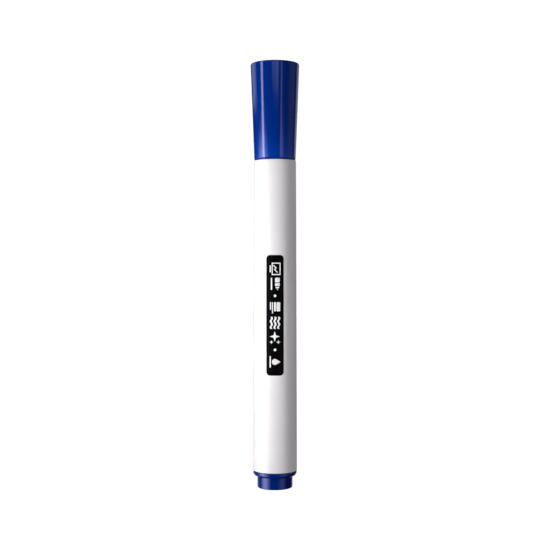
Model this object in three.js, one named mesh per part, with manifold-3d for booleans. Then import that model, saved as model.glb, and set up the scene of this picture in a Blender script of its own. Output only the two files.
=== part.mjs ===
// Whiteboard marker with a flared push-on cap, standing upright on its tail plug.
//
// Millimetres, +Z up along the marker's axis, from the tail to the cap. The origin is the centre of the
// tail plug's end face, and the printed label faces -Y. Every turned surface has the same number of flats at
// the same angles, so pieces that nest keep an even clearance all round.

import * as THREE from "three";
import { mergeVertices, toCreasedNormals } from "three/addons/utils/BufferGeometryUtils.js";
import Module from "manifold-3d";

const wasm = await Module();
wasm.setup();

// ---------------------------------------------------------------- Driving dimensions

const LENGTH = 135; // capped, tail end face to cap top
const SEAM = 0.05; // between pieces that meet end to end
const FLATS = 48; // round every turned surface
const CREASE = THREE.MathUtils.degToRad(30); // edges sharper than this are drawn sharp

const PLUG = {
  footRadius: 5.6, // the step that the cap's mouth clips over while writing
  footHeight: 3.8,
  footRounding: 0.35,
  dishRadius: 2.2, // shallow dish in the end face, round the gate mark
  dishDepth: 0.3,
  flangeRadius: 6.92,
  flangeRounding: 0.95,
  flangeTop: 5.45,
  spigotRadius: 5.45,
  spigotTop: 14.2,
  ringRadius: 5.7, // two rings that seal against the barrel's bore
  ringHeights: [7.2, 10.4],
  cupRadius: 4.3,
  floor: 1.6,
  finThickness: 0.9, // crossed fins that push on the reservoir
  finReach: 3.6,
  finTop: 16.3,
};

const CAP = {
  length: 30.4,
  mouthRadius: 6.62,
  topRadius: 7.78,
  topRounding: 0.4,
  lipRounding: 0.2,
  topWall: 2.3,
  dishRadius: 5.3, // shallow dish in the closed end
  dishDepth: 0.35,
  boreRadius: 5.78, // slides over the nose's collar
  boreDepth: 11.2,
  grooveRadius: 5.9, // clicks over the collar's bead
  grooveHeight: 3.4,
  coreRadius: 5.55, // the narrower bore that holds the liner
  ribs: 6,
  ribThickness: 0.8,
  ribReach: 4.78,
};

const LINER = {
  base: 11.9, // above the cap's mouth
  top: 27.7,
  flangeRadius: 5.5,
  flangeThickness: 1.2,
  radius: 4.7,
  boreRadius: 3.85,
  mouthRadius: 4.35,
  endWall: 0.7,
  lipRadius: 3.8, // the ring that seals on the nose
  lipHeight: 14.5,
};

const NOSE = {
  flangeRadius: 6.55, // thin flange between barrel and cap
  flangeThickness: 0.4,
  spigotRadius: 5.5,
  spigotLength: 12,
  collarTop: 7.7,
  beadRadius: 5.66,
  coneBase: 5.1,
  coneTop: 12.2,
  sealRadius: 3.75,
  frontRadius: 3.65,
  top: 20.9,
  frontRounding: 0.6,
  boreRadius: 2.35,
  boreBottom: 7.2,
  hollowRadius: 4.75, // takes the front of the reservoir
  hollowTop: 5.6,
  airGrooves: 4,
  airGrooveWidth: 0.5,
  airGrooveRadius: 2.75,
};

const NIB = {
  radius: 2.3,
  tail: -7, // below the nose's flange
  tailRadius: 1.3,
  taperTop: -5.4,
  shoulder: 21.9,
  tip: 26.45,
  tipRadius: 1.05,
};

const BARREL = {
  rearRadius: 7.02, // moulded with a slight draft towards the nose
  frontRadius: 6.75,
  edge: 0.12,
  rearBore: 5.75,
  frontBore: 5.55,
  ribs: 6,
  ribThickness: 0.8,
  ribReach: 4.72,
  ribEndMargin: 11.4, // clear of the plug's spigot and the nose's
};

const RESERVOIR = {
  radius: 4.48,
  front: 3.15, // above the nose's flange
  nibHoleRadius: 2.4,
  nibHoleDepth: 10.6,
  wrapBore: 4.5,
  wrapRadius: 4.62,
  wrapMargin: 0.5, // fibre left bare at each end
};

const LABEL = {
  bottom: 36.2, // above the tail's end face
  height: 37.8,
  width: 5.45, // seen from the front
  corner: 1.15,
  lift: 0.02,
  thickness: 0.06,
};

// Heights above the tail's end face, from the stack of pieces.
const CAP_MOUTH = LENGTH - CAP.length;
const NOSE_FLANGE = CAP_MOUTH - SEAM - NOSE.flangeThickness;
const BARREL_FRONT = NOSE_FLANGE - SEAM;
const BARREL_REAR = PLUG.flangeTop + SEAM;
const BARREL_LENGTH = BARREL_FRONT - BARREL_REAR;
const RESERVOIR_REAR = PLUG.finTop + 2 * SEAM;
const RESERVOIR_LENGTH = NOSE_FLANGE + RESERVOIR.front - RESERVOIR_REAR;

// ---------------------------------------------------------------- Materials

const plastic = (color, roughness) => new THREE.MeshStandardMaterial({ color, roughness, metalness: 0 });
const inkBlue = plastic(0x00297c, 0.16);
const barrelWhite = plastic(0xf3f2f5, 0.32);
const linerNatural = plastic(0xe6e9e6, 0.5);
const labelBlack = plastic(0x060306, 0.35);
const nibFelt = plastic(0x1b3796, 0.95);
const reservoirFibre = plastic(0x2440a0, 0.95);
const reservoirFilm = plastic(0xd8e0ec, 0.25);

// ---------------------------------------------------------------- Shape helpers

const point = (radius, height) => new THREE.Vector2(radius, height);

// Points on an arc about (radius, height), between two angles in degrees, for a rounded edge.
function rounded(radius, height, rounding, from, to, steps = 4) {
  return Array.from({ length: steps + 1 }, (_, i) => {
    const angle = THREE.MathUtils.degToRad(from + ((to - from) * i) / steps);
    return point(radius + rounding * Math.cos(angle), height + rounding * Math.sin(angle));
  });
}

// A closed geometry as a manifold-3d solid.
function solidOf(geometry) {
  geometry.deleteAttribute("normal");
  geometry.deleteAttribute("uv");
  const merged = mergeVertices(geometry, 1e-4);
  const vertProperties = merged.attributes.position.array;
  return new wasm.Manifold(
    new wasm.Mesh({ numProp: 3, vertProperties, triVerts: Uint32Array.from(merged.index.array) }),
  );
}

// The solid that an outline of (radius, height) points sweeps about Z. The outline runs up the outside.
function turned(outline, flats = FLATS) {
  return solidOf(new THREE.LatheGeometry(outline, flats).rotateX(Math.PI / 2));
}

// The same, for a ring whose outline closes on itself.
const turnedRing = (outline, flats) => turned([...outline, outline[0]], flats);

// Upright radial plates, evenly spaced about Z, between two radii and two heights.
function radialPlates(count, thickness, inner, outer, bottom, top) {
  return Array.from({ length: count }, (_, i) => {
    const plate = new THREE.BoxGeometry(outer - inner, thickness, top - bottom);
    plate.translate((inner + outer) / 2, 0, (bottom + top) / 2);
    return solidOf(plate.rotateZ((i * 2 * Math.PI) / count));
  });
}

const joined = (base, pieces) => pieces.reduce((whole, piece) => whole.add(piece), base);
const cut = (base, pieces) => pieces.reduce((whole, piece) => whole.subtract(piece), base);

// A named mesh of a solid, with its origin at the given height.
function piece(name, solid, material, height = 0) {
  const { vertProperties, triVerts } = solid.getMesh();
  const geometry = new THREE.BufferGeometry();
  geometry.setAttribute("position", new THREE.BufferAttribute(vertProperties, 3));
  geometry.setIndex(new THREE.BufferAttribute(triVerts, 1));
  const mesh = new THREE.Mesh(toCreasedNormals(geometry, CREASE), material);
  mesh.name = name;
  mesh.position.z = height;
  return mesh;
}

// ---------------------------------------------------------------- Pieces

// Closes the barrel's rear. Its foot is as wide as the nose's collar, so that the cap clips over either.
function tailPlug() {
  const p = PLUG;
  const sealRing = (height) => [
    point(p.spigotRadius, height),
    point(p.ringRadius, height + 0.3),
    point(p.ringRadius, height + 0.8),
    point(p.spigotRadius, height + 1.1),
  ];
  const shell = turned([
    point(0, p.dishDepth),
    point(p.dishRadius - 0.3, p.dishDepth),
    point(p.dishRadius, 0),
    ...rounded(p.footRadius - p.footRounding, p.footRounding, p.footRounding, -90, 0),
    point(p.footRadius, p.footHeight),
    ...rounded(p.flangeRadius - p.flangeRounding, p.footHeight + p.flangeRounding, p.flangeRounding, -90, 0),
    point(p.flangeRadius, p.flangeTop - 0.1),
    point(p.flangeRadius - 0.1, p.flangeTop),
    point(p.spigotRadius, p.flangeTop),
    ...p.ringHeights.flatMap(sealRing),
    point(p.spigotRadius, p.spigotTop - 0.7),
    point(p.spigotRadius - 0.45, p.spigotTop),
    point(p.cupRadius + 0.2, p.spigotTop),
    point(p.cupRadius, p.floor),
    point(0, p.floor),
  ]);
  const fins = radialPlates(4, p.finThickness, -0.2, p.finReach, p.floor - 0.3, p.finTop);
  return piece("tail_plug", joined(shell, fins), inkBlue);
}

// Outer radius of the barrel at a height above its rear end.
function barrelRadius(height) {
  return THREE.MathUtils.lerp(BARREL.rearRadius, BARREL.frontRadius, height / BARREL_LENGTH);
}

// White tube, open at both ends, with ribs inside that centre the reservoir and leave air channels beside it.
function barrel() {
  const b = BARREL;
  const tube = turnedRing([
    point(b.rearBore + 0.3, 0),
    point(b.rearRadius - b.edge, 0),
    point(b.rearRadius, b.edge),
    point(b.frontRadius, BARREL_LENGTH - b.edge),
    point(b.frontRadius - b.edge, BARREL_LENGTH),
    point(b.frontBore, BARREL_LENGTH),
    point(b.rearBore, 0.3),
  ]);
  const rootRadius = b.rearBore + 0.15;
  const ribTop = BARREL_LENGTH - NOSE.spigotLength - 0.8;
  const ribs = radialPlates(b.ribs, b.ribThickness, b.ribReach, rootRadius, b.ribEndMargin, ribTop);
  return piece("barrel", joined(tube, ribs), barrelWhite, BARREL_REAR);
}

// Black printed panel with rounded corners, lying on the barrel's front.
function labelPanel() {
  const l = LABEL;
  const rear = l.bottom - BARREL_REAR;
  const margin = 1;
  const skin = (offset, height) => point(barrelRadius(height) + offset, height);
  const sleeve = turnedRing(
    [
      skin(l.lift, rear - margin),
      skin(l.lift + l.thickness, rear - margin),
      skin(l.lift + l.thickness, rear + l.height + margin),
      skin(l.lift, rear + l.height + margin),
    ],
    2 * FLATS,
  );
  const [right, top, c] = [l.width / 2, l.height, l.corner];
  const outline = new THREE.Shape()
    .absarc(right - c, c, c, -Math.PI / 2, 0)
    .absarc(right - c, top - c, c, 0, Math.PI / 2)
    .absarc(c - right, top - c, c, Math.PI / 2, Math.PI)
    .absarc(c - right, c, c, Math.PI, 1.5 * Math.PI);
  const depth = 2 * BARREL.rearRadius;
  const prism = new THREE.ExtrudeGeometry(outline, { depth, bevelEnabled: false, curveSegments: 5 });
  prism.rotateX(Math.PI / 2).translate(0, 0, rear);
  return piece("label_panel", sleeve.intersect(solidOf(prism)), labelBlack, BARREL_REAR);
}

// Pressed into the barrel's front: flange, collar with its click bead, cone, and the seal that holds the nib.
function noseSection() {
  const n = NOSE;
  const beadMiddle = CAP_MOUTH + CAP.grooveHeight - NOSE_FLANGE;
  const shell = turnedRing([
    point(n.spigotRadius - 0.4, -n.spigotLength),
    point(n.spigotRadius, 0.5 - n.spigotLength),
    point(n.spigotRadius, 0),
    point(n.flangeRadius - 0.08, 0),
    point(n.flangeRadius, 0.08),
    point(n.flangeRadius, n.flangeThickness - 0.08),
    point(n.flangeRadius - 0.08, n.flangeThickness),
    point(n.spigotRadius, n.flangeThickness),
    point(n.spigotRadius, beadMiddle - 0.65),
    point(n.beadRadius, beadMiddle - 0.35),
    point(n.beadRadius, beadMiddle + 0.35),
    point(n.spigotRadius, beadMiddle + 0.65),
    point(n.spigotRadius, n.collarTop),
    point(n.coneBase, n.collarTop + 0.6),
    point(n.sealRadius + 0.25, n.coneTop - 0.7),
    point(n.sealRadius, n.coneTop),
    ...rounded(n.frontRadius - n.frontRounding, n.top - n.frontRounding, n.frontRounding, 0, 90),
    point(n.boreRadius, n.top),
    point(n.boreRadius, n.boreBottom),
    point(n.hollowRadius, n.hollowTop),
    point(n.hollowRadius, -n.spigotLength),
  ]);
  const bottom = n.boreBottom - 0.5;
  const grooves = radialPlates(n.airGrooves, n.airGrooveWidth, 0, n.airGrooveRadius, bottom, n.top + 1);
  return piece("nose_section", cut(shell, grooves), inkBlue, NOSE_FLANGE);
}

// Bonded fibre rod with a bullet point. Its tail runs down into the reservoir.
function nib() {
  const n = NIB;
  const tipCentre = n.tip - n.tipRadius;
  const rod = turned([
    point(0, n.tail),
    point(n.tailRadius, n.tail),
    point(n.radius, n.taperTop),
    point(n.radius, n.shoulder),
    point(n.radius - 0.2, n.shoulder + 1),
    ...rounded(0, tipCentre, n.tipRadius, 22, 90),
  ]);
  return piece("nib", rod, nibFelt, NOSE_FLANGE);
}

// Ink-soaked fibre rod, with the hole that the nib's tail sits in.
function reservoirCore() {
  const r = RESERVOIR;
  const rod = turned([
    point(0, 0),
    point(r.radius, 0),
    point(r.radius, RESERVOIR_LENGTH),
    point(r.nibHoleRadius, RESERVOIR_LENGTH),
    point(r.nibHoleRadius, RESERVOIR_LENGTH - r.nibHoleDepth),
    point(0, RESERVOIR_LENGTH - r.nibHoleDepth),
  ]);
  return piece("reservoir_core", rod, reservoirFibre, RESERVOIR_REAR);
}

// Clear film wound round the fibre.
function reservoirWrap() {
  const r = RESERVOIR;
  const tube = turnedRing([
    point(r.wrapBore, r.wrapMargin),
    point(r.wrapRadius, r.wrapMargin),
    point(r.wrapRadius, RESERVOIR_LENGTH - r.wrapMargin),
    point(r.wrapBore, RESERVOIR_LENGTH - r.wrapMargin),
  ]);
  return piece("reservoir_wrap", tube, reservoirFilm, RESERVOIR_REAR);
}

// Outer cap: flares from the mouth to a closed, rounded top, with ribs inside that centre the liner.
function capShell() {
  const c = CAP;
  const innerTop = c.length - c.topWall;
  const shell = turned([
    point(0, innerTop),
    point(c.coreRadius - 0.3, innerTop),
    point(c.coreRadius, innerTop - 0.3),
    point(c.coreRadius, c.boreDepth + 0.4),
    point(c.boreRadius, c.boreDepth),
    point(c.boreRadius, c.grooveHeight + 0.8),
    point(c.grooveRadius, c.grooveHeight + 0.5),
    point(c.grooveRadius, c.grooveHeight - 0.5),
    point(c.boreRadius, c.grooveHeight - 0.8),
    point(c.boreRadius, 0.5),
    point(c.boreRadius + 0.3, 0),
    ...rounded(c.mouthRadius - c.lipRounding, c.lipRounding, c.lipRounding, -90, 0, 3),
    ...rounded(c.topRadius - c.topRounding, c.length - c.topRounding, c.topRounding, 0, 90),
    point(c.dishRadius, c.length),
    point(c.dishRadius - 0.2, c.length - c.dishDepth),
    point(0, c.length - c.dishDepth),
  ]);
  const ribBottom = LINER.base + LINER.flangeThickness + 0.5;
  const rootRadius = c.coreRadius + 0.2;
  const ribs = radialPlates(c.ribs, c.ribThickness, c.ribReach, rootRadius, ribBottom, innerTop + 0.2);
  return piece("cap_shell", joined(shell, ribs), inkBlue);
}

// Inner cap: a soft cup that seals on the nose and keeps the nib from drying.
function capLiner() {
  const l = LINER;
  const cup = turned([
    point(0, l.top - l.endWall),
    point(l.boreRadius - 0.4, l.top - l.endWall),
    point(l.boreRadius, l.top - l.endWall - 0.4),
    point(l.boreRadius, l.lipHeight + 0.6),
    point(l.lipRadius, l.lipHeight + 0.2),
    point(l.lipRadius, l.lipHeight - 0.2),
    point(l.boreRadius, l.lipHeight - 0.6),
    point(l.boreRadius, l.base + 1),
    point(l.mouthRadius, l.base),
    point(l.flangeRadius - 0.2, l.base),
    point(l.flangeRadius, l.base + 0.2),
    point(l.flangeRadius, l.base + l.flangeThickness),
    point(l.radius, l.base + l.flangeThickness),
    ...rounded(l.radius - 0.8, l.top - 0.8, 0.8, 0, 90),
    point(0, l.top),
  ]);
  return piece("cap_liner", cup, linerNatural);
}

// ---------------------------------------------------------------- Assembly

const pen = new THREE.Group();
pen.add(barrel(), labelPanel(), noseSection(), nib(), reservoirCore(), reservoirWrap());

const cap = new THREE.Group();
cap.add(capShell(), capLiner());
cap.position.z = CAP_MOUTH;

const marker = new THREE.Group();
marker.add(pen, cap, tailPlug());

export default marker;
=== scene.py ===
"""Whiteboard marker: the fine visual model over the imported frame, and a small product-photo studio.

Every turned piece is an outline of (radius, height, rounding) corners in millimetres, measured from
the base of the CAD node that it replaces. All pieces lie in the row frame: +Z up the marker's axis,
label facing -Y.
"""

import math

import bmesh
import bpy
from mathutils import Matrix, Vector


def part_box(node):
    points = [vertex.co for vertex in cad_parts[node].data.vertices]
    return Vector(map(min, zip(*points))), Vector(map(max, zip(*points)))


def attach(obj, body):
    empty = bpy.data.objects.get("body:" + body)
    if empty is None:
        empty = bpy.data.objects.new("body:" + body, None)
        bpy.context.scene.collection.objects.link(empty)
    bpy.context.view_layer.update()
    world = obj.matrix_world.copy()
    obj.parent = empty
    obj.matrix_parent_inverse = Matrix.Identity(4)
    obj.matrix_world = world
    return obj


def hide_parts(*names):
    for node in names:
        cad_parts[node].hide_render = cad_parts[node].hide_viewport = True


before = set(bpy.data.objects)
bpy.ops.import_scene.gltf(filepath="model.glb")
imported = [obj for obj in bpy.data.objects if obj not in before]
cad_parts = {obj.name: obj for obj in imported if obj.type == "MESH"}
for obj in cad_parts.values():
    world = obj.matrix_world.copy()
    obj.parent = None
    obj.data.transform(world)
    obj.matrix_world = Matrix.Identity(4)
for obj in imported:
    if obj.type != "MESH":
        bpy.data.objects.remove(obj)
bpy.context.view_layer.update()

MM = 0.001
SEGMENTS = 192  # round every turned surface
ARC_STEP = math.radians(12)  # along a rounded corner
SHARP = math.radians(35)  # edges beyond this angle are shaded sharp
WELD = 0.002 * MM  # points nearer than this after a join or cut become one
ON_AXIS = 1e-9


# ---------------------------------------------------------------- Sizes, from the frame


class Span:
    """A CAD node's lowest point, length and radius, in millimetres."""

    def __init__(self, node):
        low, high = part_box(node)
        self.base = low.z / MM
        self.length = (high.z - low.z) / MM
        self.radius = high.x / MM


BARREL = Span("barrel")
CAP = Span("cap_shell")
LINER = Span("cap_liner")
NOSE = Span("nose_section")
NIB = Span("nib")
PLUG = Span("tail_plug")
CORE = Span("reservoir_core")
WRAP = Span("reservoir_wrap")
LABEL = Span("label_panel")

BARREL_FRONT_RADIUS = 6.75  # the frame gives only the wider rear end


def barrel_radius(height):
    """Outer radius of the barrel at a height above the tail's end face."""
    share = (height - BARREL.base) / BARREL.length
    return BARREL.radius + (BARREL_FRONT_RADIUS - BARREL.radius) * share


# ---------------------------------------------------------------- Mesh helpers


def half_opening(before, corner, after):
    """Half the angle between a corner's two sides."""
    return (before - corner).angle(after - corner, math.pi) / 2


def arc_reaches(places, roundings):
    """How far each corner's arc reaches along its sides, shortened where two arcs would meet."""
    count = len(places)
    reaches = []
    for i, rounding in enumerate(roundings):
        half = half_opening(places[i - 1], places[i], places[(i + 1) % count])
        reaches.append(rounding / math.tan(half) if rounding else 0)
    fitted = list(reaches)
    for i in range(count):
        j = (i + 1) % count
        both = reaches[i] + reaches[j]
        length = (places[j] - places[i]).length
        if both > length:
            fitted[i] = min(fitted[i], reaches[i] * length / both)
            fitted[j] = min(fitted[j], reaches[j] * length / both)
    return fitted


def rounded_corner(before, corner, after, reach):
    """Points of the arc that replaces one corner of an outline."""
    half = half_opening(before, corner, after)
    turn = math.pi - 2 * half
    if reach <= 0 or turn < math.radians(1):
        return [corner]
    towards = (before - corner).normalized()
    onwards = (after - corner).normalized()
    centre = corner + (towards + onwards).normalized() * reach / math.cos(half)
    start = corner + towards * reach - centre
    end = corner + onwards * reach - centre
    steps = max(2, math.ceil(turn / ARC_STEP))
    points = []
    for i in range(steps + 1):
        angle = turn * i / steps
        along = start * math.sin(turn - angle) + end * math.sin(angle)
        points.append(centre + along / math.sin(turn))
    return points


def with_supports(start, end, inset=0.12):
    """Two points just inside a long straight stretch, to keep its shading flat beside rounded corners."""
    length = (end - start).length
    if length < 5 * inset:
        return []
    step = (end - start) * (inset / length)
    return [start + step, end - step]


def smooth_outline(corners):
    """The outline's points, with its corners rounded, and whether it is closed.

    An outline that starts and ends on the axis is open.
    """
    places = [Vector((c[0], c[1])) for c in corners]
    open_ended = places[0].x == 0
    reaches = arc_reaches(places, [c[2] if len(c) > 2 else 0 for c in corners])
    runs = []
    for i, place in enumerate(places):
        if open_ended and i in (0, len(places) - 1):
            runs.append([place])
            continue
        after = places[(i + 1) % len(places)]
        runs.append(rounded_corner(places[i - 1], place, after, reaches[i]))
    points = []
    for i, run in enumerate(runs):
        points += run
        if i < len(runs) - 1 or not open_ended:
            points += with_supports(run[-1], runs[(i + 1) % len(runs)][0])
    return points, not open_ended


def finished_mesh(bm, name):
    """The mesh that a bmesh has built."""
    mesh = bpy.data.meshes.new(name)
    bm.to_mesh(mesh)
    bm.free()
    return mesh


def add_object(name, data):
    """An object for a mesh, light or camera, placed in the scene."""
    made = bpy.data.objects.new(name, data)
    bpy.context.scene.collection.objects.link(made)
    return made


def shade(mesh):
    """Shades a mesh smooth between its hard edges."""
    mesh.shade_smooth()
    mesh.set_sharp_from_angle(angle=SHARP)


def turned(name, corners, base):
    """The closed surface that an outline sweeps about the axis, lifted to its base height."""
    points, closed = smooth_outline(corners)
    bm = bmesh.new()
    rings = []
    for point in points:
        height = (base + point.y) * MM
        if point.x < ON_AXIS:
            rings.append([bm.verts.new((0, 0, height))])
            continue
        radius = point.x * MM
        ring = []
        for i in range(SEGMENTS):
            angle = 2 * math.pi * i / SEGMENTS
            ring.append(bm.verts.new((radius * math.sin(angle), -radius * math.cos(angle), height)))
        rings.append(ring)
    pairs = list(zip(rings, rings[1:]))
    if closed:
        pairs.append((rings[-1], rings[0]))
    for lower, upper in pairs:
        for i in range(SEGMENTS):
            j = (i + 1) % SEGMENTS
            corners_of_face = [lower[i % len(lower)], lower[j % len(lower)]]
            corners_of_face += [upper[j % len(upper)], upper[i % len(upper)]]
            bm.faces.new(dict.fromkeys(corners_of_face))
    bmesh.ops.recalc_face_normals(bm, faces=bm.faces)
    mesh = finished_mesh(bm, name)
    shade(mesh)
    return add_object(name, mesh)


def radial_plates(count, thickness, inner, outer, bottom, top, start=0):
    """One object of upright plates, evenly spaced about the axis, to cut or join with."""
    bm = bmesh.new()
    for i in range(count):
        angle = math.radians(start + 360 * i / count)
        size = Vector((outer - inner, thickness, top - bottom)) * MM
        centre = Vector(((inner + outer) / 2 * MM, 0, (bottom + top) / 2 * MM))
        made = bmesh.ops.create_cube(bm, size=1)["verts"]
        bmesh.ops.scale(bm, vec=size, verts=made)
        bmesh.ops.translate(bm, vec=centre, verts=made)
        bmesh.ops.rotate(bm, matrix=Matrix.Rotation(angle, 3, "Z"), verts=made)
    return add_object("plates", finished_mesh(bm, "plates"))


def combine(piece, tool, operation):
    """Joins a tool to a piece, or cuts it away, and removes the tool."""
    boolean = piece.modifiers.new("combine", "BOOLEAN")
    boolean.operation = operation
    boolean.solver = "MANIFOLD"
    boolean.object = tool
    bpy.context.view_layer.update()
    evaluated = piece.evaluated_get(bpy.context.evaluated_depsgraph_get())
    bm = bmesh.new()
    bm.from_mesh(evaluated.to_mesh())
    bmesh.ops.remove_doubles(bm, verts=bm.verts, dist=WELD)
    mesh = finished_mesh(bm, piece.name)
    shade(mesh)
    piece.modifiers.clear()
    piece.data = mesh
    bpy.data.objects.remove(tool)


def combine_cross(piece, operation, thickness, reach, bottom, top):
    """Joins two plates that cross at the axis to a piece, or cuts them away."""
    for start in (0, 90):
        plate = radial_plates(1, thickness, -reach, reach, bottom, top, start)
        combine(piece, plate, operation)


def dress(piece, body, material, *nodes):
    """Gives a piece its material, record slot and body, and hides the CAD nodes that it stands for."""
    piece.data.materials.clear()
    piece.data.materials.append(material)
    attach(piece, body)
    if nodes:
        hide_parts(*nodes)


# ---------------------------------------------------------------- Materials

NOISE_LOW, NOISE_HIGH = 0.3, 0.7  # most of a noise's values lie between these


class Paint:
    """A Principled material under construction. Lengths are in metres, in the row frame."""

    def __init__(self, slot, finish=None, **sockets):
        self.material = bpy.data.materials.new((finish or slot) + "_finish")
        self.material["slot"] = slot
        self.material.use_nodes = True
        self.tree = self.material.node_tree
        self.shader = self.tree.nodes["Principled BSDF"]
        for label, value in sockets.items():
            self.shader.inputs[label.replace("_", " ")].default_value = value
        self.place = self.node("ShaderNodeTexCoord").outputs["Object"]

    def node(self, kind, **settings):
        made = self.tree.nodes.new(kind)
        for key, value in settings.items():
            setattr(made, key, value)
        return made

    def link(self, output, socket):
        self.tree.links.new(output, socket)

    def stretched(self, x, y, z):
        """Texture coordinates scaled along each axis."""
        mapping = self.node("ShaderNodeMapping")
        mapping.inputs["Scale"].default_value = (x, y, z)
        self.link(self.place, mapping.inputs["Vector"])
        return mapping.outputs["Vector"]

    def noise(self, scale, detail=2.0, coordinates=None):
        """Noise with features about 1/scale metres across."""
        texture = self.node("ShaderNodeTexNoise")
        texture.inputs["Scale"].default_value = scale
        texture.inputs["Detail"].default_value = detail
        self.link(coordinates or self.place, texture.inputs["Vector"])
        return texture.outputs["Fac"]

    def spread(self, value, low, high):
        """Maps a noise's middle range onto a range of numbers."""
        ranged = self.node("ShaderNodeMapRange")
        ranged.inputs["From Min"].default_value = NOISE_LOW
        ranged.inputs["From Max"].default_value = NOISE_HIGH
        ranged.inputs["To Min"].default_value = low
        ranged.inputs["To Max"].default_value = high
        self.link(value, ranged.inputs["Value"])
        return ranged.outputs["Result"]

    def colours(self, value, first, second, start=NOISE_LOW, end=NOISE_HIGH):
        """A ramp from the first colour to the second, by default over a noise's middle range."""
        ramp = self.node("ShaderNodeValToRGB")
        for element, position, colour in zip(ramp.color_ramp.elements, (start, end), (first, second)):
            element.position = position
            element.color = (*colour, 1)
        self.link(value, ramp.inputs["Fac"])
        return ramp.outputs["Color"]

    def rise(self, bottom, top):
        """0 below one height, 1 above another, and smooth between them."""
        split = self.node("ShaderNodeSeparateXYZ")
        self.link(self.place, split.inputs["Vector"])
        ranged = self.node("ShaderNodeMapRange", interpolation_type="SMOOTHSTEP")
        ranged.inputs["From Min"].default_value = bottom
        ranged.inputs["From Max"].default_value = top
        self.link(split.outputs["Z"], ranged.inputs["Value"])
        return ranged.outputs["Result"]

    def mixed(self, factor, first, second):
        """The first colour where the factor is 0, and the second where it is 1."""
        mix = self.node("ShaderNodeMixRGB")
        self.link(factor, mix.inputs["Fac"])
        self.link(first, mix.inputs["Color1"])
        self.link(second, mix.inputs["Color2"])
        return mix.outputs["Color"]

    def relief(self, height, depth):
        """Raises the surface by up to depth metres where the value is 1."""
        bump = self.node("ShaderNodeBump")
        bump.inputs["Distance"].default_value = depth
        self.link(height, bump.inputs["Height"])
        self.link(bump.outputs["Normal"], self.shader.inputs["Normal"])

    def set(self, label, output):
        self.link(output, self.shader.inputs[label])


def tint(colour, factor):
    return tuple(channel * factor for channel in colour)


def moulded_blue(finish, blue):
    """Glossy polypropylene, and its colour with the faint lengthwise flow of moulding."""
    gloss = {"IOR": 1.5, "Specular_IOR_Level": 0.8, "Specular_Tint": (0.63, 0.63, 1.0, 1)}
    paint = Paint("ink_blue_plastic", finish, **gloss)
    flow = paint.noise(1, 3, paint.stretched(420, 420, 60))
    streaks = paint.colours(flow, tint(blue, 0.95), tint(blue, 1.05))
    paint.set("Base Color", streaks)
    paint.set("Roughness", paint.spread(paint.noise(900), 0.07, 0.12))
    paint.relief(paint.noise(1, 2, paint.stretched(300, 300, 40)), 0.000003)
    return paint, streaks


def ink_blue_plastic():
    paint, _ = moulded_blue("ink_blue_plastic", (0.0, 0.0195, 0.18))
    return paint.material


def cap_blue_painted_light():
    """The same plastic, with painted light: a brighter blue, glowing more towards the mouth."""
    # painted light: a brighter blue than the plug's, to make up for the weaker key light at the cap's
    # height
    paint, streaks = moulded_blue("cap_blue_painted_light", (0.0, 0.0245, 0.226))
    # painted glow: the blue brightens towards the mouth, standing in for light passing through the thin
    # wall
    painted_glow = paint.colours(paint.noise(700), (0.0, 0.043, 0.37), (0.0, 0.045, 0.38))
    # the painted glow is full at the mouth and gone 11 mm up
    height = paint.rise((CAP.base - 4) * MM, (CAP.base + 11) * MM)
    paint.set("Base Color", paint.mixed(height, painted_glow, streaks))
    return paint.material


def barrel_white():
    """Semi-gloss white polypropylene."""
    white = (0.87, 0.838, 0.868)
    paint = Paint("barrel_white", IOR=1.46)
    cloud = paint.noise(160, 3)
    paint.set("Base Color", paint.colours(cloud, tint(white, 0.985), white))
    paint.set("Roughness", paint.spread(paint.noise(1200, 3), 0.30, 0.38))
    paint.relief(paint.noise(5000, 2), 0.000002)
    return paint.material


def liner_natural():
    """Milky, slightly waxy natural polyethylene."""
    paint = Paint("liner_natural", IOR=1.5, Subsurface_Weight=0.3, Subsurface_Scale=0.001)
    cloud = paint.noise(500, 3)
    paint.set("Base Color", paint.colours(cloud, (0.72, 0.75, 0.72), (0.80, 0.82, 0.80)))
    paint.set("Roughness", paint.spread(paint.noise(2500), 0.42, 0.55))
    return paint.material


def label_black():
    """Screen-printed black ink."""
    paint = Paint("label_black", IOR=1.45, Specular_IOR_Level=0.08)
    speckle = paint.noise(6000, 2)
    paint.set("Base Color", paint.colours(speckle, (0.0008, 0.0004, 0.0008), (0.002, 0.0015, 0.002)))
    paint.set("Roughness", paint.spread(paint.noise(3000), 0.36, 0.48))
    return paint.material


def label_print():
    """Screen-printed white ink, very slightly uneven over the black."""
    paint = Paint("label_print", IOR=1.45)
    speckle = paint.noise(7000, 3)
    paint.set("Base Color", paint.colours(speckle, (0.80, 0.80, 0.82), (0.92, 0.92, 0.93), 0.25, 0.6))
    paint.set("Roughness", paint.spread(paint.noise(3000), 0.45, 0.6))
    return paint.material


def nib_felt():
    """Bonded fibre soaked in ink, with its fibres lengthwise."""
    paint = Paint("nib_felt", IOR=1.4, Specular_IOR_Level=0.25)
    fibres = paint.noise(1, 4, paint.stretched(9000, 9000, 900))
    paint.set("Base Color", paint.colours(fibres, (0.006, 0.022, 0.19), (0.02, 0.07, 0.42)))
    paint.set("Roughness", paint.spread(fibres, 0.8, 0.97))
    paint.relief(fibres, 0.00004)
    return paint.material


def reservoir_fibre():
    """Loose polyester fibre, blue with ink."""
    paint = Paint("reservoir_fibre", Specular_IOR_Level=0.2, Sheen_Weight=0.2)
    fibres = paint.noise(1, 5, paint.stretched(7000, 7000, 350))
    paint.set("Base Color", paint.colours(fibres, (0.008, 0.025, 0.20), (0.05, 0.12, 0.55)))
    paint.set("Roughness", paint.spread(fibres, 0.85, 1.0))
    paint.relief(fibres, 0.00006)
    return paint.material


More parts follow.
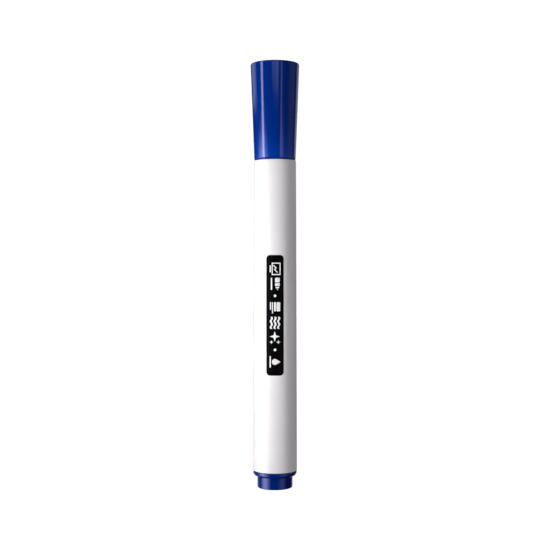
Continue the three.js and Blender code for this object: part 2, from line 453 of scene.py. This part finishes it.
def reservoir_film():
    """Clear wrapping film with fine lengthwise creases."""
    paint = Paint("reservoir_film", IOR=1.5, Alpha=0.4)
    creases = paint.noise(1, 3, paint.stretched(1500, 1500, 120))
    paint.set("Base Color", paint.colours(creases, (0.60, 0.66, 0.78), (0.78, 0.82, 0.90)))
    paint.set("Roughness", paint.spread(creases, 0.15, 0.35))
    return paint.material


# ---------------------------------------------------------------- Turned pieces


def make_barrel(material):
    """White tube, rounded a little at both ends, with the ribs that centre the reservoir."""
    rear_bore, front_bore, length = 5.75, 5.55, BARREL.length
    piece = turned(
        "barrel_tube",
        [
            (rear_bore + 0.3, 0, 0.05),
            (BARREL.radius, 0, 0.15),
            (BARREL_FRONT_RADIUS, length, 0.15),
            (front_bore, length, 0.1),
            (rear_bore, 0.3, 0.05),
        ],
        BARREL.base,
    )
    ribs = radial_plates(
        count=6,
        thickness=0.8,
        inner=4.72,
        outer=rear_bore + 0.15,
        bottom=BARREL.base + 11.4,
        top=BARREL.base + length - 12.8,
    )
    combine(piece, ribs, "UNION")
    dress(piece, "barrel", material, "barrel")


def make_plug(material):
    """Tail plug: dished end face, stepped foot, rounded flange, ringed spigot and crossed fins."""
    foot, spigot, ring, cup = 5.6, 5.45, 5.7, 4.3
    dish, floor, foot_top, flange_top, spigot_top = 0.3, 1.6, 3.8, 5.45, 14.2
    corners = [
        (0, dish),
        (1.9, dish, 0.2),
        (2.2, 0, 0.1),
        (foot, 0, 0.35),
        (foot, foot_top, 0.02),
        (PLUG.radius, foot_top, 0.95),
        (PLUG.radius, flange_top, 0.1),
        (spigot, flange_top, 0.1),
    ]
    for height in (7.2, 10.4):
        corners += [
            (spigot, height, 0.1),
            (ring, height + 0.3, 0.15),
            (ring, height + 0.8, 0.15),
            (spigot, height + 1.1, 0.1),
        ]
    corners += [
        (spigot, spigot_top - 0.7, 0.2),
        (spigot - 0.45, spigot_top, 0.15),
        (cup + 0.2, spigot_top, 0.15),
        (cup, floor, 0.4),
        (0, floor),
    ]
    piece = turned("tail_plug_moulding", corners, PLUG.base)
    fin_bottom = PLUG.base + floor - 0.3
    fin_top = PLUG.base + PLUG.length
    combine_cross(piece, "UNION", thickness=0.9, reach=3.6, bottom=fin_bottom, top=fin_top)
    dress(piece, "tail_plug", material, "tail_plug")


def make_nose(material):
    """Nose: spigot, thin flange, collar with its click bead, cone, and the grooved seal round the nib."""
    flange_base, flange_top = 12.0, 12.4
    spigot, bead, bead_middle = 5.5, 5.66, flange_base + 3.85
    seal_bottom, seal_top = flange_base + 12.2, flange_base + 20.9
    nib_bore, reservoir_bore = 2.35, 4.75
    corners = [
        (spigot - 0.4, 0, 0.1),
        (spigot, 0.5, 0.2),
        (spigot, flange_base, 0.05),
        (NOSE.radius, flange_base, 0.1),
        (NOSE.radius, flange_top, 0.1),
        (spigot, flange_top, 0.1),
        (spigot, bead_middle - 0.65, 0.2),
        (bead, bead_middle - 0.3, 0.3),
        (bead, bead_middle + 0.3, 0.3),
        (spigot, bead_middle + 0.65, 0.2),
        (spigot, flange_base + 7.7, 0.4),
        (5.1, flange_base + 8.3, 0.6),
        (4.0, flange_base + 11.5, 0.8),
        (3.75, seal_bottom, 1.0),
        (3.65, seal_top, 0.6),
        (nib_bore, seal_top, 0.12),
        (nib_bore, flange_base + 7.2, 0.1),
        (reservoir_bore, flange_base + 5.6, 0.2),
        (reservoir_bore, 0, 0.1),
    ]
    piece = turned("nose_moulding", corners, NOSE.base)
    depth = nib_bore + 0.4
    bottom = NOSE.base + flange_base + 6.7
    beyond = NOSE.base + NOSE.length + 1
    combine_cross(piece, "DIFFERENCE", thickness=0.5, reach=depth, bottom=bottom, top=beyond)
    dress(piece, "barrel", material, "nose_section")


def make_nib(material):
    """Fibre rod with a tapered tail and a bullet point."""
    top, taper, point = NIB.length, 1.6, 4.55
    corners = [
        (0, 0),
        (1.3, 0, 0.15),
        (NIB.radius, taper, 0.5),
        (NIB.radius, top - point, 1.2),
        (1.15, top, 1.35),
        (0, top),
    ]
    dress(turned("bullet_nib", corners, NIB.base), "barrel", material, "nib")


def make_cap(material):
    """Cap: flared wall, rounded rim, dished closed end with its gate mark, grooved bore and ribs."""
    top = CAP.length
    inner_top, dish, gate = top - 2.3, top - 0.35, top - 0.2
    bore, groove, core, mouth = 5.78, 5.9, 5.55, 6.62
    rim = CAP.radius + 0.016  # its rounding brings it back to the CAD's radius
    corners = [
        (0, inner_top),
        (core, inner_top, 0.4),
        (core, 11.6, 0.1),
        (bore, 11.2, 0.1),
        (bore, 4.2, 0.1),
        (groove, 3.9, 0.1),
        (groove, 2.9, 0.1),
        (bore, 2.6, 0.1),
        (bore, 0.5, 0.2),
        (bore + 0.3, 0, 0.05),
        (mouth, 0, 0.2),
        (rim, top, 0.4),
        (5.3, top, 0.15),
        (5.1, dish, 0.15),
        (0.55, dish, 0.1),
        (0.45, gate, 0.08),
        (0, gate),
    ]
    piece = turned("cap_moulding", corners, CAP.base)
    ribs = radial_plates(
        count=6,
        thickness=0.8,
        inner=4.78,
        outer=core + 0.2,
        bottom=CAP.base + 13.6,
        top=CAP.base + inner_top + 0.2,
    )
    combine(piece, ribs, "UNION")
    dress(piece, "cap", material, "cap_shell")


def make_liner(material):
    """Inner cup with a flange, a flared mouth and the ring that seals on the nose."""
    bore, lip, wall = 3.85, 3.8, 4.7
    top, inner_top, flange_top = LINER.length, LINER.length - 0.7, 1.2
    corners = [
        (0, inner_top),
        (bore, inner_top, 0.5),
        (bore, 3.2, 0.1),
        (lip, 2.8, 0.1),
        (lip, 2.4, 0.1),
        (bore, 2.0, 0.1),
        (bore, 1.0, 0.3),
        (bore + 0.5, 0, 0.1),
        (LINER.radius, 0, 0.2),
        (LINER.radius, flange_top, 0.15),
        (wall, flange_top, 0.1),
        (wall, top, 0.8),
        (0, top),
    ]
    dress(turned("liner_cup", corners, LINER.base), "cap", material, "cap_liner")


def make_reservoir(fibre, film):
    """Fibre rod, and the film tube round it."""
    hole, hole_bottom = 2.4, CORE.length - 10.6
    rod = [
        (0, 0),
        (CORE.radius, 0, 0.4),
        (CORE.radius, CORE.length, 0.4),
        (hole, CORE.length, 0.15),
        (hole, hole_bottom, 0.3),
        (0, hole_bottom),
    ]
    dress(turned("fibre_rod", rod, CORE.base), "barrel", fibre, "reservoir_core")
    bore = 4.5
    sleeve = [
        (bore, 0),
        (WRAP.radius, 0, 0.02),
        (WRAP.radius, WRAP.length, 0.02),
        (bore, WRAP.length),
    ]
    dress(turned("film_sleeve", sleeve, WRAP.base), "barrel", film, "reservoir_wrap")


# ---------------------------------------------------------------- Printed label

PANEL_CORNER = 1.15
PANEL_WIDTH = 2 * LABEL.radius
INK_LIFT = 0.004  # black ink above the barrel
INK_THICKNESS = 0.03
PRINT_THICKNESS = 0.015  # white ink on the black
BEND_STEP = 0.3  # between the lines where flat print bends round the barrel
ICON_STEP = 4.68  # between neighbouring pictograms, along the panel
DOT_STEP = 3.77  # between a pictogram and a dot


def arc(cx, cy, radius, start, end, steps=8):
    """Points on an arc, with its angles in degrees."""
    points = []
    for i in range(steps + 1):
        angle = math.radians(start + (end - start) * i / steps)
        points.append((cx + radius * math.cos(angle), cy + radius * math.sin(angle)))
    return points


def pill(cx, cy, width, height, corner):
    """Rectangle with rounded corners."""
    dx, dy = width / 2 - corner, height / 2 - corner
    points = []
    for turn, (sx, sy) in enumerate([(1, 1), (-1, 1), (-1, -1), (1, -1)]):
        points += arc(cx + sx * dx, cy + sy * dy, corner, 90 * turn, 90 * turn + 90, 5)
    return points


def disc(cx, cy, radius):
    return arc(cx, cy, radius, 0, 360, 24)[:-1]


def board_icon():
    """A whiteboard: a frame round a rising line, and its tray."""
    shapes = []
    for side in (-1, 1):
        outer = [(0, 1.75), (side * 1.95, 1.75), (side * 1.95, -1.05), (0, -1.05)]
        inner = [(0, -0.72), (side * 1.62, -0.72), (side * 1.62, 1.42), (0, 1.42)]
        shapes.append(outer + inner)
    line = [(-1.15, -0.3), (-0.35, 0.5), (0.25, 0.1), (1.15, 1.0)]
    shapes.append(line + [(x, z - 0.42) for x, z in reversed(line)])
    shapes.append(pill(0, -1.5, 2.2, 0.36, 0.15))
    return shapes


def eraser_icon():
    """A felt eraser with two wiping marks."""
    shapes = [pill(-0.35, 1.05, 2.9, 1.2, 0.35), pill(-0.35, -0.02, 2.9, 0.55, 0.12)]
    for i, width in enumerate((3.6, 2.4)):
        shapes.append(pill(-1.8 + width / 2, -0.8 - 0.6 * i, width, 0.32, 0.12))
    return shapes


def pen_icon():
    """A capless marker lying across the line it has drawn."""
    return [
        pill(-1.15, 0.75, 1.5, 1.5, 0.25),
        pill(0.25, 0.75, 0.9, 1.5, 0.1),
        [(0.95, 1.4), (1.45, 1.15), (1.45, 0.35), (0.95, 0.1)],
        [(1.65, 1.0), (1.95, 0.75), (1.65, 0.5)],
        pill(0, -1.1, 3.8, 0.42, 0.15),
    ]


def sparkle_icon():
    """A four-pointed sparkle and two small ones: wiped clean."""

    def star(cx, cy, reach):
        points = []
        for i in range(8):
            radius = reach if i % 2 == 0 else reach * 0.34
            angle = math.radians(45 * i)
            points.append((cx + radius * math.cos(angle), cy + radius * math.sin(angle)))
        return points

    return [star(-0.4, -0.1, 1.6), star(1.35, 1.05, 0.7), star(1.35, -1.15, 0.62)]


def cloth_icon():
    """A folded cloth: three waving bands."""
    wave = [(-1.9 + 0.2 * i, 0.22 * math.sin(math.radians(38 * i))) for i in range(20)]
    shapes = []
    for offset in (-1.15, 0, 1.15):
        upper = [(x, offset + y + 0.3) for x, y in wave]
        lower = [(x, offset + y - 0.3) for x, y in reversed(wave)]
        shapes.append(upper + lower)
    return shapes


def drop_icon():
    """A drop of ink over its puddle."""
    drop = [(0, 1.75)] + arc(0, -0.05, 0.95, 30, -210, 20)
    return [drop, pill(0, -1.5, 3.6, 0.4, 0.15)]


def dot_icon():
    return [disc(0, 0, 0.42)]


def printed(name, shapes, lift, thickness):
    """Thin closed solids of flat (across, height) shapes in millimetres, wrapped onto the barrel."""
    bm = bmesh.new()
    for shape in shapes:
        bm.faces.new([bm.verts.new((x * MM, 0, z * MM)) for x, z in shape])
    bends = math.floor(PANEL_WIDTH / 2 / BEND_STEP)
    for i in range(-bends, bends + 1):
        everything = bm.verts[:] + bm.edges[:] + bm.faces[:]
        across = (i * BEND_STEP * MM, 0, 0)
        bmesh.ops.bisect_plane(bm, geom=everything, plane_co=across, plane_no=(1, 0, 0), dist=1e-8)
    bmesh.ops.triangulate(bm, faces=[f for f in bm.faces if len(f.verts) > 4])
    front = bm.faces[:]
    back = bmesh.ops.duplicate(bm, geom=front)
    rims = [edge for edge in bm.edges if edge.is_boundary]
    outer = set(vertex for face in front for vertex in face.verts)
    partner = {vertex: back["vert_map"][vertex] for vertex in outer}
    for edge in rims:
        a, b = edge.verts
        if a in partner and b in partner:
            bm.faces.new([a, b, partner[b], partner[a]])
    for vertex in bm.verts:
        level = lift + (thickness if vertex in outer else 0)
        radius = barrel_radius(vertex.co.z / MM) + level
        vertex.co.y = -math.sqrt((radius * MM) ** 2 - vertex.co.x**2)
    bmesh.ops.recalc_face_normals(bm, faces=bm.faces)
    mesh = finished_mesh(bm, name)
    shade(mesh)
    return add_object(name, mesh)


def make_label(black, white):
    """The black panel, and generic pictograms that read with the marker lying cap to the left."""
    middle = LABEL.base + LABEL.length / 2
    outline = pill(0, middle, PANEL_WIDTH, LABEL.length, PANEL_CORNER)
    panel = printed("printed_panel", [outline], INK_LIFT, INK_THICKNESS)
    dress(panel, "barrel", black, "label_panel")
    icons = [board_icon, pen_icon, dot_icon, eraser_icon, cloth_icon, sparkle_icon, dot_icon, drop_icon]
    steps = [DOT_STEP if dot_icon in pair else ICON_STEP for pair in zip(icons, icons[1:])]
    height = middle + sum(steps) / 2
    shapes = []
    for icon, step in zip(icons, steps + [0]):
        for shape in icon():
            shapes.append([(up, height - along) for along, up in shape])
        height -= step
    pictograms = printed("printed_pictograms", shapes, INK_LIFT + INK_THICKNESS, PRINT_THICKNESS)
    dress(pictograms, "barrel", white)


# ---------------------------------------------------------------- Studio

EYE_LEVEL = 0.0705
DISTANCE = 0.3295
FIELD = 0.1758  # width that the frame covers at the marker's axis
DROP = -0.0161  # the view's centre lies this share of the frame under eye level
BACKGROUND = 1.05  # brightness of the floor and the backdrop, as the camera sees them
FILL = 0.3  # even light on matt surfaces
FLOOR = -0.0181  # under the tail plug's reach when it is pulled out
CARD_DISTANCE = 0.5
CARD_GAP = 0.004  # each card stands this much behind the last, so that none coincide


def bearing(degrees, distance, height):
    """A point round the marker. 0 degrees is towards the camera and 90 is to its right."""
    angle = math.radians(degrees)
    return Vector((distance * math.sin(angle), -distance * math.cos(angle), height))


def make_camera():
    data = bpy.data.cameras.new("camera")
    data.lens = data.sensor_width * DISTANCE / FIELD
    data.shift_y = DROP
    data.clip_start = 0.01
    camera = add_object("camera", data)
    camera.location = (0, -DISTANCE, EYE_LEVEL)
    camera.rotation_euler = (math.pi / 2, 0, 0)
    bpy.context.scene.camera = camera


def soft_light(name, degrees, distance, height, size, watts):
    """A square light that only brightens; it doesn't show in reflections."""
    data = bpy.data.lights.new(name, "AREA")
    data.size = size
    data.energy = watts
    light = add_object(name, data)
    light.location = bearing(degrees, distance, height)
    aim = Vector((0, 0, height)) - light.location
    light.rotation_euler = aim.to_track_quat("-Z", "Y").to_euler()
    light.visible_glossy = False


def reflector(
    distance, name, bearings, heights, brightness, top=None, slant=0, sides=0.1, lower=0.1, upper=0.1
):
    """A curved card that shows only in reflections.

    Its light fades in over a share of its width and height. Its top edge can span other bearings than
    its bottom edge, which can slant down towards the right.
    """
    steps = 24
    bm = bmesh.new()
    uv = bm.loops.layers.uv.new("card")
    columns = []
    for i in range(steps + 1):
        share = i / steps
        low, high = [start + (end - start) * share for start, end in (bearings, top or bearings)]
        bottom = bm.verts.new(bearing(low, distance, heights[0] - slant * share))
        columns.append([bottom, bm.verts.new(bearing(high, distance, heights[1]))])
    for i in range(steps):
        face = bm.faces.new([columns[i][0], columns[i + 1][0], columns[i + 1][1], columns[i][1]])
        for loop, (u, v) in zip(face.loops, [(i, 0), (i + 1, 0), (i + 1, 1), (i, 1)]):
            loop[uv].uv = (u / steps, v)
    card = add_object(name, finished_mesh(bm, name))
    card.data.materials.append(glow(name, brightness, sides, lower, upper))
    card.visible_camera = False
    card.visible_diffuse = False
    card.visible_shadow = False


def glow(name, brightness, sides, lower, upper):
    """Light with soft edges, which adds to what lies behind it."""
    material = bpy.data.materials.new(name)
    material.use_nodes = True
    tree = material.node_tree
    tree.nodes.clear()
    place = tree.nodes.new("ShaderNodeTexCoord")
    split = tree.nodes.new("ShaderNodeSeparateXYZ")
    tree.links.new(place.outputs["UV"], split.inputs["Vector"])
    emission = tree.nodes.new("ShaderNodeEmission")
    following = emission.inputs["Strength"]
    fades = [("X", 0, sides), ("X", 1, 1 - sides), ("Y", 0, lower), ("Y", 1, 1 - upper)]
    for axis, start, end in fades:
        fade = tree.nodes.new("ShaderNodeMapRange")
        fade.interpolation_type = "SMOOTHSTEP"
        fade.inputs["From Min"].default_value = start
        fade.inputs["From Max"].default_value = end
        tree.links.new(split.outputs[axis], fade.inputs["Value"])
        times = tree.nodes.new("ShaderNodeMath")
        times.operation = "MULTIPLY"
        times.inputs[1].default_value = brightness
        tree.links.new(fade.outputs["Result"], times.inputs[0])
        tree.links.new(times.outputs[0], following)
        following = times.inputs[1]
    clear = tree.nodes.new("ShaderNodeBsdfTransparent")
    both = tree.nodes.new("ShaderNodeAddShader")
    tree.links.new(emission.outputs[0], both.inputs[0])
    tree.links.new(clear.outputs[0], both.inputs[1])
    output = tree.nodes.new("ShaderNodeOutputMaterial")
    tree.links.new(both.outputs[0], output.inputs["Surface"])
    return material


def make_world():
    """White to the camera, a dim even fill on matt surfaces, and black in reflections."""
    world = bpy.data.worlds.new("studio")
    bpy.context.scene.world = world
    world.use_nodes = True
    tree = world.node_tree
    tree.nodes.clear()
    output = tree.nodes.new("ShaderNodeOutputWorld")
    rays = tree.nodes.new("ShaderNodeLightPath")

    def flat(strength):
        background = tree.nodes.new("ShaderNodeBackground")
        background.inputs["Strength"].default_value = strength
        background.inputs["Color"].default_value = (1, 1, 1, 1)
        return background.outputs[0]

    def choose(factor, no, yes):
        mix = tree.nodes.new("ShaderNodeMixShader")
        tree.links.new(factor, mix.inputs[0])
        tree.links.new(no, mix.inputs[1])
        tree.links.new(yes, mix.inputs[2])
        return mix.outputs[0]

    dim = choose(rays.outputs["Is Glossy Ray"], flat(FILL), flat(0))
    seen = choose(rays.outputs["Is Camera Ray"], dim, flat(BACKGROUND))
    tree.links.new(seen, output.inputs["Surface"])


def make_floor():
    """Pale table top that glows evenly, with a faint painted contact shadow. It throws no light back on
    the marker.
    """
    bm = bmesh.new()
    bmesh.ops.create_circle(bm, cap_ends=True, segments=96, radius=3)
    floor = add_object("floor", finished_mesh(bm, "floor"))
    floor.location.z = FLOOR
    plain = {"Base_Color": (0, 0, 0, 1), "Roughness": 1.0, "Specular_IOR_Level": 0.0}
    paint = Paint("floor", Emission_Strength=BACKGROUND, **plain)
    # painted contact shadow: the floor's glow dims where ambient occlusion finds the marker close
    openness = paint.node("ShaderNodeAmbientOcclusion", samples=8)
    openness.inputs["Distance"].default_value = 0.01
    shadow = paint.colours(openness.outputs["AO"], (0.84, 0.84, 0.86), (1, 1, 1), 0.2, 1)
    paint.set("Emission Color", shadow)
    floor.data.materials.append(paint.material)
    floor.visible_diffuse = False
    floor.visible_glossy = False


# The cap mirrors what is 0.12 to 0.22 m up, the barrel what is -0.1 to 0.15 m up, and the plug what
# is lower still.
CARDS = [
    dict(name="strip", bearings=(-73, -57.5), heights=(-0.1, 0.5), brightness=5.0, sides=0.3),
    dict(
        name="strip_lower",
        bearings=(-73, -57),
        heights=(-0.1, 0.2),
        brightness=2.2,
        sides=0.3,
        upper=0.25,
    ),
    dict(
        name="low_glow",
        bearings=(-110, -25),
        heights=(-0.5, 0.12),
        brightness=4.0,
        sides=0.5,
        upper=0.02,
    ),
    dict(
        name="mouth_glow",
        bearings=(-142, -20),
        top=(-82, -50),
        heights=(0.1, 0.165),
        brightness=6.0,
        sides=0.5,
        lower=0.05,
        upper=0.9,
    ),
    dict(
        name="wing",
        bearings=(-145, -98),
        heights=(0.181, 0.5),
        slant=0.012,
        brightness=0.95,
        sides=0.22,
        lower=0.04,
    ),
    dict(
        name="front_card",
        bearings=(-17, 18),
        heights=(0.18, 0.5),
        slant=0.018,
        brightness=0.7,
        sides=0.15,
        lower=0.02,
    ),
    dict(
        name="front_patch",
        bearings=(3, 20),
        heights=(0.175, 0.5),
        brightness=0.45,
        sides=0.2,
        lower=0.05,
    ),
    dict(name="thin_card", bearings=(27, 36), heights=(0.0, 0.5), brightness=0.9, sides=0.25),
    dict(
        name="thin_lower",
        bearings=(24, 52),
        heights=(-0.1, 0.165),
        brightness=0.8,
        sides=0.4,
        upper=0.2,
    ),
    dict(
        name="thin_glow",
        bearings=(16, 80),
        heights=(-0.5, 0.15),
        brightness=0.5,
        sides=0.4,
        upper=0.12,
    ),
    dict(name="dark_side", bearings=(62, 120), heights=(-0.1, 0.5), brightness=0.18, sides=0.3),
    dict(name="side_card", bearings=(62, 118), heights=(-0.09, 0.125), brightness=1.15, sides=0.4),
    dict(name="backdrop", bearings=(124, 168), heights=(0.12, 0.5), brightness=0.6, sides=0.2),
    dict(name="low_left", bearings=(-170, -112), heights=(-0.5, -0.09), brightness=0.6, sides=0.4),
    dict(name="low_right", bearings=(125, 170), heights=(-0.5, -0.09), brightness=0.6, sides=0.4),
    dict(name="rear_card", bearings=(172, 190), heights=(-0.3, 0.5), brightness=1.5, sides=0.3),
]


LIGHTS = [
    dict(name="key", degrees=-47, distance=0.15, height=0.058, size=0.045, watts=0.224),
    dict(name="cap_fill", degrees=-120, distance=0.2, height=0.15, size=0.1, watts=0.12),
    dict(name="back_key", degrees=-172, distance=0.6, height=0.10, size=0.2, watts=0.75),
    dict(name="back_fill", degrees=158, distance=0.6, height=0.08, size=0.1, watts=1.5),
]


def make_studio():
    make_camera()
    make_world()
    make_floor()
    bpy.context.scene.view_settings.view_transform = "Standard"
    for light in LIGHTS:
        soft_light(**light)
    for i, card in enumerate(CARDS):
        reflector(CARD_DISTANCE + CARD_GAP * i, **card)


# ---------------------------------------------------------------- Assembly


make_studio()
blue = ink_blue_plastic()
make_barrel(barrel_white())
make_plug(blue)
make_nose(blue)
# the cap's material paints light into its blue: brighter overall, and glowing towards the mouth
make_cap(cap_blue_painted_light())
make_liner(liner_natural())
make_nib(nib_felt())
make_reservoir(reservoir_fibre(), reservoir_film())
make_label(label_black(), label_print())
